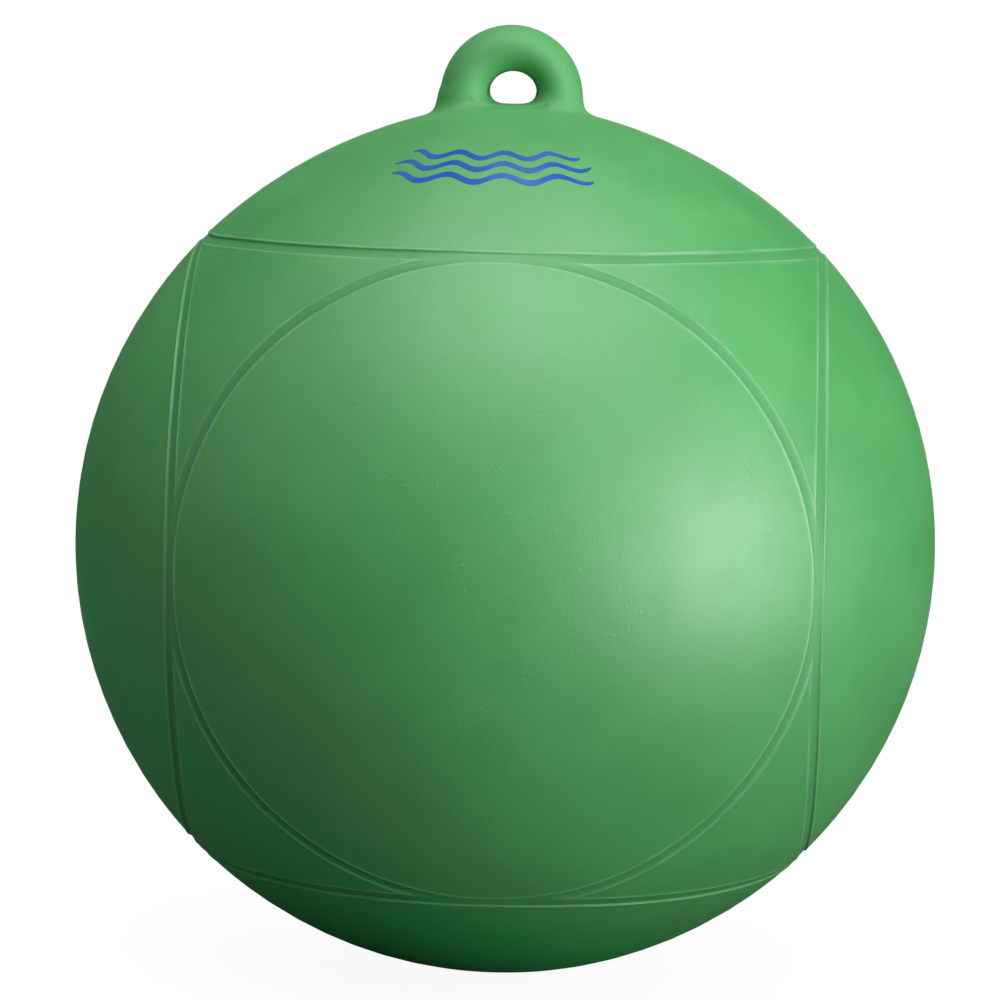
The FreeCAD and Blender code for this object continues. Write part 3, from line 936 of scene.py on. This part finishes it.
def grain_group():
    """The skin of a moulding: orange peel, and patches of raised and of sunken crumbs."""
    tree, given, out = new_group("moulded_grain", ("Place", "Peel", "Crumbs"), ("Height",))
    place = given["Place"]
    height = times(tree, noise_of(tree, place, PEEL_SCALE, PEEL_DETAIL), given["Peel"])
    for scale, low, patch_scale, rise in CRUMBS:
        crumb = noise_of(tree, place, scale, CRUMB_DETAIL, CRUMB_DISTORTION)
        crumb = remap(tree, crumb, low, low + CRUMB_STEP)
        patchy = patches(tree, place, (patch_scale, CRUMB_DETAIL, *CRUMB_PATCHES))
        crumb = times(tree, crumb, patchy, given["Crumbs"], rise)
        height = plus(tree, height, crumb)
    tree.links.new(height, out["Height"])
    return tree


def scratch_group():
    """Short straight scratches, 0 to 1, one at most in each cell of a scatter."""
    tree, given, out = new_group("short_scratches", ("Place", "Fineness"), ("Mask",))
    total = None
    place = stirred(tree, given["Place"], *SCRATCH_STIR)
    for fineness, share in SCRATCHES:
        scale = times(tree, given["Fineness"], fineness)
        cells = add_node(tree, "ShaderNodeTexVoronoi", None, Vector=place, Scale=scale).outputs
        lean = vector_of(tree, "SUBTRACT", cells["Color"], NOISE_MIDDLE)
        lean = vector_of(tree, "NORMALIZE", lean, (0, 0, 0))
        offset = vector_of(tree, "SUBTRACT", place, cells["Position"])
        off_line = vector_of(tree, "DOT_PRODUCT", offset, lean, "Value")
        off_line = times(tree, math_of(tree, "ABSOLUTE", off_line), scale)
        line = remap(tree, off_line, *SCRATCH_EDGE)
        line = times(tree, line, remap(tree, cells["Distance"], *SCRATCH_END))
        chosen = add_node(tree, "ShaderNodeSeparateColor", None, Color=cells["Color"]).outputs[2]
        line = times(tree, line, remap(tree, chosen, share, share + SCRATCH_EASE))
        total = line if total is None else math_of(tree, "MAXIMUM", total, line)
    tree.links.new(total, out["Mask"])
    return tree


# Materials: vinyl

VINYL_LIGHT = (0.08, 0.445, 0.113, 1)
VINYL_DEEP = (0.069, 0.404, 0.1, 1)
VINYL_MOTTLE = (34, 4, 0.3, 0.7)
# painted shade: the side that the way below points to, the lower left turned from the lamps, is
# painted a purer green, from one distance from the ball's centre to another
VINYL_SHADED_SIDE = (0.005, 0.58, 0.1, 1)
SHADED_SIDE_WAY = (-0.553, 0.352, -0.755)
SHADED_SIDE_REACH = (0.018, 0.06)
# painted shade: the grooves and the eye's creases are painted a darker green
VINYL_GROOVE_SHADE = (0.02, 0.29, 0.06, 1)
GROOVE_SHADE_SHARE = 0.7
# painted highlight: the grooves' lips are painted pale, in patches, as thin light lines
VINYL_LIP_HIGHLIGHT = (0.42, 0.72, 0.46, 1)
LIP_HIGHLIGHT_PATCHES = (90, 3, 0.3, 0.65)
LIP_HIGHLIGHT_SHARES = (0.12, 0.4)
# painted shade: a dark olive, in patches, along the grooves and the eye's creases
PATCHY_GROOVE_SHADE = (0.12, 0.15, 0.04, 1)
PATCHY_SHADE_PATCHES = (60, 3, 0.55, 0.75)
PATCHY_SHADE_SHARE = 0.2
VINYL_SHINE = (70, 3, 0.3, 0.7)
VINYL_ROUGHNESS = (0.47, 0.53)
# the eye grows rougher from one height to another
EYE_MATT = (FLOOR_LEVEL + 0.21, FLOOR_LEVEL + 0.222)
EYE_ROUGHER = 0.2
SCRATCH_ROUGHER = 0.1
GROOVE_ROUGHER = 0.25
SCRATCH_RISE = 0.008
# centre of a fan of drawn lines, and the way across them
STRETCHES = (
    ((0.057, -0.084, 0.109), (0.86, 0.1, 0.5)),
    ((-0.062, 0.07, 0.12), (0.5, 0.5, 0.7)),
)
STRETCH_EDGE = (0.022, 0.004)
STRETCH_RATE = 4300
STRETCH_SWAY_SCALE = 26
STRETCH_SWAY = 30
STRETCH_BEAT = 0.31
STRETCH_BEATS_KEPT = (-0.1, 0.9)
STRETCH_BREAKS = (70, 1, 0.42, 0.62)
STRETCH_RISE = 0.01
# painted shade: the upper rim of the eye's hole painted near black, by distance from the hole's
# axis and by height over it, in metres
HOLE_RIM_SHADE = (0.01, 0.05, 0.012, 1)
HOLE_RIM_SHADE_SHARE = 0.75
RIM_EDGE = (0.0068, 0.0064)
RIM_BOTTOM = (-0.0022, 0.0005)
RIM_RAGGED_SCALE = 500
RIM_RAGGED = 0.0006


def stretch_creases(tree, place):
    """Faint fans of drawn lines, where the skin was stretched as it left its mould."""
    total = None
    for centre, across in STRETCHES:
        inside = vector_of(tree, "DISTANCE", place, centre, "Value")
        inside = remap(tree, inside, *STRETCH_EDGE)
        rate = [part * STRETCH_RATE for part in across]
        along = vector_of(tree, "DOT_PRODUCT", place, rate, "Value")
        sway = times(tree, noise_of(tree, place, STRETCH_SWAY_SCALE), STRETCH_SWAY)
        along = plus(tree, along, sway)
        beat = math_of(tree, "SINE", times(tree, along, STRETCH_BEAT))
        kept = remap(tree, beat, *STRETCH_BEATS_KEPT)
        wave = times(tree, math_of(tree, "SINE", along), kept)
        part = times(tree, wave, patches(tree, place, STRETCH_BREAKS), inside)
        total = part if total is None else plus(tree, total, part)
    return total


def hole_rim_shade(tree, place):
    """Painted shade: the upper rim of the eye's hole, painted near black where the arch shades it.
    """
    centre = (0, 0, FLOOR_LEVEL + (BALL_RADIUS + HOLE_CENTRE) * MM)
    from_axis = vector_of(tree, "SUBTRACT", place, centre)
    from_axis = vector_of(tree, "MULTIPLY", from_axis, (1, 0, HOLE_FLATNESS))
    reach = length_of(tree, from_axis)
    ragged = times(tree, noise_of(tree, place, RIM_RAGGED_SCALE), RIM_RAGGED)
    near = remap(tree, plus(tree, reach, ragged), *RIM_EDGE)
    above = remap(tree, part_of(tree, from_axis, "Z"), *RIM_BOTTOM)
    return times(tree, near, above, HOLE_RIM_SHADE_SHARE)


def vinyl_colour(tree, place, groove):
    """Mottled green with painted light: a purer green on the lower left as painted shade, painted
    shade in the grooves, creases and the hole's rim, and pale painted highlights on the grooves'
    lips.
    """
    colour = mix_colours(tree, patches(tree, place, VINYL_MOTTLE), VINYL_DEEP, VINYL_LIGHT)
    # painted shade: the lower left side is painted a purer green, as if no sheen fell on it
    from_centre = vector_of(tree, "SUBTRACT", place, tuple(BALL_CENTRE))
    shaded_side = vector_of(tree, "DOT_PRODUCT", from_centre, SHADED_SIDE_WAY, "Value")
    colour = mix_colours(tree, remap(tree, shaded_side, *SHADED_SIDE_REACH), colour, VINYL_SHADED_SIDE)
    # painted shade in the grooves and the eye's creases
    colour = mix_colours(tree, times(tree, groove, GROOVE_SHADE_SHARE), colour, VINYL_GROOVE_SHADE)
    # painted highlight on the grooves' lips
    lip_highlight = patches(tree, place, LIP_HIGHLIGHT_PATCHES, *LIP_HIGHLIGHT_SHARES)
    colour = mix_colours(tree, times(tree, attribute_of(tree, "lip"), lip_highlight), colour, VINYL_LIP_HIGHLIGHT)
    # painted shade in patches along the grooves and creases
    patchy_shade = times(tree, patches(tree, place, PATCHY_SHADE_PATCHES), groove, PATCHY_SHADE_SHARE)
    colour = mix_colours(tree, patchy_shade, colour, PATCHY_GROOVE_SHADE)
    # painted shade on the upper rim of the eye's hole
    return mix_colours(tree, hole_rim_shade(tree, place), colour, HOLE_RIM_SHADE)


def vinyl_roughness(tree, place, groove, scratch):
    rough = patches(tree, place, VINYL_SHINE, *VINYL_ROUGHNESS)
    eye = remap(tree, part_of(tree, place, "Z"), *EYE_MATT, 0, EYE_ROUGHER)
    rough = plus(tree, rough, eye)
    rough = plus(tree, rough, times(tree, scratch, SCRATCH_ROUGHER))
    return plus(tree, rough, times(tree, groove, GROOVE_ROUGHER))


def vinyl_material(grain, scratches):
    material, tree, shader = new_material("green_vinyl", Specular_IOR_Level=1.0, IOR=1.6)
    place = object_place(tree)
    groove = attribute_of(tree, "groove")
    tree.links.new(vinyl_colour(tree, place, groove), shader.inputs["Base Color"])
    scratch = use_group(tree, scratches, Place=place, Fineness=150.0)
    rough = vinyl_roughness(tree, place, groove, scratch)
    tree.links.new(rough, shader.inputs["Roughness"])
    height = use_group(tree, grain, Place=place, Peel=0.018, Crumbs=0.05)
    height = plus(tree, height, times(tree, scratch, SCRATCH_RISE))
    stretch = times(tree, stretch_creases(tree, place), STRETCH_RISE)
    add_bump(tree, shader, plus(tree, height, stretch))
    return material


# Materials: ink, nylon and rubber

INK = (0.0, 0.09, 0.56, 1)
INK_THIN = (0.045, 0.16, 0.52, 1)
INK_PATCHES = (45, 3, 0.4, 0.66)
NYLON = (0.7, 0.71, 0.66, 1)
NYLON_STAINED = (0.6, 0.6, 0.53, 1)
NYLON_STAINS = (160, 3, 0.35, 0.7)
NYLON_ROUGHNESS = (0.42, 0.55)
NYLON_SCRATCH_ROUGHER = 0.15
NYLON_SCRATCH_DEPTH = 0.03
RUBBER = (0.02, 0.02, 0.02, 1)
RUBBER_BLOOM = (0.05, 0.05, 0.048, 1)
BLOOM_PATCHES = (300, 3, 0.35, 0.75)
RUBBER_ROUGHNESS = (0.5, 0.75)


def ink_material(grain):
    """Screened ink, thin enough for the vinyl's grain to show."""
    material, tree, shader = new_material("blue_ink", Roughness=0.4)
    place = object_place(tree)
    colour = mix_colours(tree, patches(tree, place, INK_PATCHES), INK, INK_THIN)
    tree.links.new(colour, shader.inputs["Base Color"])
    add_bump(tree, shader, use_group(tree, grain, Place=place, Peel=0.015, Crumbs=0.03))
    return material


def nylon_material(grain, scratches):
    material, tree, shader = new_material("moulded_nylon")
    place = object_place(tree)
    stain = patches(tree, place, NYLON_STAINS)
    colour = mix_colours(tree, stain, NYLON, NYLON_STAINED)
    tree.links.new(colour, shader.inputs["Base Color"])
    scratch = use_group(tree, scratches, Place=place, Fineness=500.0)
    rough = remap(tree, stain, 0, 1, *NYLON_ROUGHNESS)
    rough = plus(tree, rough, times(tree, scratch, NYLON_SCRATCH_ROUGHER))
    tree.links.new(rough, shader.inputs["Roughness"])
    height = use_group(tree, grain, Place=place, Peel=0.012, Crumbs=0.0)
    scratch_depth = times(tree, scratch, NYLON_SCRATCH_DEPTH)
    add_bump(tree, shader, math_of(tree, "SUBTRACT", height, scratch_depth))
    return material


def rubber_material(grain):
    material, tree, shader = new_material("seal_rubber")
    place = object_place(tree)
    bloom = patches(tree, place, BLOOM_PATCHES)
    colour = mix_colours(tree, bloom, RUBBER, RUBBER_BLOOM)
    tree.links.new(colour, shader.inputs["Base Color"])
    rough = remap(tree, bloom, 0, 1, *RUBBER_ROUGHNESS)
    tree.links.new(rough, shader.inputs["Roughness"])
    add_bump(tree, shader, use_group(tree, grain, Place=place, Peel=0.015, Crumbs=0.0))
    return material


# Camera and light

CAMERA_AZIMUTH = 2.14
CAMERA_ELEVATION = 6.92
CAMERA_ROLL = 1.0
CAMERA_DISTANCE = 1.032
CAMERA_LENS = 147.06
CAMERA_SHIFT = (-0.0053, 0.0428)
CAMERA_NEAR = 0.05
# name, azimuth, elevation, distance, width, height, power, and whether gloss shows it
LAMPS = (
    ("key_softbox", 58, 4, 1.2, 0.95, 0.95, 10.9, True),
    ("low_softbox", 36, -3, 1.2, 1.1, 0.4, 1.3, True),
    ("top_softbox", 20, 76, 1.2, 1.4, 1.4, 10.0, True),
    ("upper_softbox", 14, 48, 1.2, 1.4, 1.1, 1.9, True),
    ("left_softbox", -70, 38, 1.2, 1.2, 1.2, 1.5, True),
    ("back_softbox", 192, 28, 1.2, 1.4, 1.4, 5.0, False),
)
WORLD_LEVEL = 0.06
BACKDROP_EDGE = (0.96, 0.99)


def place_round(thing, azimuth, elevation, distance, roll=0):
    """Puts a camera or lamp facing the ball; azimuth 0 is in front of it, and 90 to its right."""
    a, e = azimuth * DEGREE, elevation * DEGREE
    back = Vector((math.sin(a) * math.cos(e), -math.cos(a) * math.cos(e), math.sin(e)))
    aim = back.to_track_quat("Z", "Y").to_matrix().to_4x4()
    turn = Matrix.Rotation(roll * DEGREE, 4, "Z")
    thing.matrix_world = Matrix.Translation(BALL_CENTRE + back * distance) @ aim @ turn
    bpy.context.scene.collection.objects.link(thing)


def make_camera():
    data = bpy.data.cameras.new("camera")
    data.lens = CAMERA_LENS
    data.shift_x, data.shift_y = CAMERA_SHIFT
    data.clip_start = CAMERA_NEAR
    camera = bpy.data.objects.new("camera", data)
    place_round(camera, CAMERA_AZIMUTH, CAMERA_ELEVATION, CAMERA_DISTANCE, CAMERA_ROLL)
    bpy.context.scene.camera = camera


def make_lamps():
    for name, azimuth, elevation, distance, width, height, power, glossy in LAMPS:
        data = bpy.data.lights.new(name, "AREA")
        data.shape = "ELLIPSE"
        data.size = width
        data.size_y = height
        data.energy = power
        lamp = bpy.data.objects.new(name, data)
        place_round(lamp, azimuth, elevation, distance)
        lamp.visible_glossy = glossy


def glossy_ray(tree, path):
    return math_of(tree, "MAXIMUM", path["Is Glossy Ray"], path["Is Transmission Ray"])


def make_world():
    """White where the backdrop stands, and for the camera; dim for the light on the object."""
    world = bpy.data.worlds.new("studio")
    bpy.context.scene.world = world
    world.use_nodes = True
    tree = world.node_tree
    background = tree.nodes["Background"]
    background.inputs["Color"].default_value = (1, 1, 1, 1)
    path = add_node(tree, "ShaderNodeLightPath").outputs
    way = add_node(tree, "ShaderNodeTexCoord").outputs["Generated"]
    backdrop = remap(tree, part_of(tree, way, "Y"), *BACKDROP_EDGE)
    mirrored = times(tree, glossy_ray(tree, path), backdrop)
    white = math_of(tree, "MAXIMUM", path["Is Camera Ray"], mirrored)
    level = add_node(tree, "ShaderNodeMapRange", None, Value=white, To_Min=WORLD_LEVEL,
                     To_Max=1.0)
    tree.links.new(level.outputs["Result"], background.inputs["Strength"])


# Floor

FLOOR_RADIUS = 0.56
FLOOR_FADE = (0.3, 0.5)
FLOOR_COLOUR = (0.12, 0.12, 0.12, 1)
FLOOR_LIFT = 0.93
FLOOR_SEGMENTS = 96


def floor_material():
    """Dark and matt for the light on the object, but lifted to near white for the camera.

    It gives way to the white backdrop towards its rim, for the camera and in gloss or glass.
    """
    material, tree, shader = new_material("floor", Base_Color=FLOOR_COLOUR, Roughness=0.9)
    place = object_place(tree)
    fade = remap(tree, length_of(tree, place), *FLOOR_FADE)
    behind = remap(tree, part_of(tree, place, "Y"), *FLOOR_FADE)
    path = add_node(tree, "ShaderNodeLightPath").outputs
    mirrored = times(tree, glossy_ray(tree, path), behind)
    seen = math_of(tree, "MAXIMUM", path["Is Camera Ray"], mirrored)
    strength = times(tree, path["Is Camera Ray"], FLOOR_LIFT)
    lift = add_node(tree, "ShaderNodeEmission", None, Strength=strength)
    lifted = add_node(tree, "ShaderNodeAddShader")
    tree.links.new(shader.outputs[0], lifted.inputs[0])
    tree.links.new(lift.outputs[0], lifted.inputs[1])
    faded = add_node(tree, "ShaderNodeMixShader", None, Fac=times(tree, seen, fade))
    tree.links.new(lifted.outputs[0], faded.inputs[1])
    tree.links.new(add_node(tree, "ShaderNodeEmission").outputs[0], faded.inputs[2])
    tree.links.new(faded.outputs[0], tree.nodes["Material Output"].inputs["Surface"])
    return material


def make_floor():
    bm = bmesh.new()
    bmesh.ops.create_circle(bm, cap_ends=True, segments=FLOOR_SEGMENTS, radius=FLOOR_RADIUS)
    bmesh.ops.translate(bm, verts=bm.verts, vec=(0, 0, FLOOR_LEVEL))
    mesh = bpy.data.meshes.new("floor")
    bm.to_mesh(mesh)
    bm.free()
    floor = bpy.data.objects.new("floor", mesh)
    bpy.context.scene.collection.objects.link(floor)
    floor.data.materials.append(floor_material())


make_camera()
make_lamps()
make_world()
make_floor()
grain, scratches = grain_group(), scratch_group()
nylon = nylon_material(grain, scratches)
make_moulding(vinyl_material(grain, scratches))
make_print(ink_material(grain))
make_seat(nylon)
make_gasket(rubber_material(grain))
make_plug(nylon)

bpy.context.scene.view_settings.view_transform = "Standard"
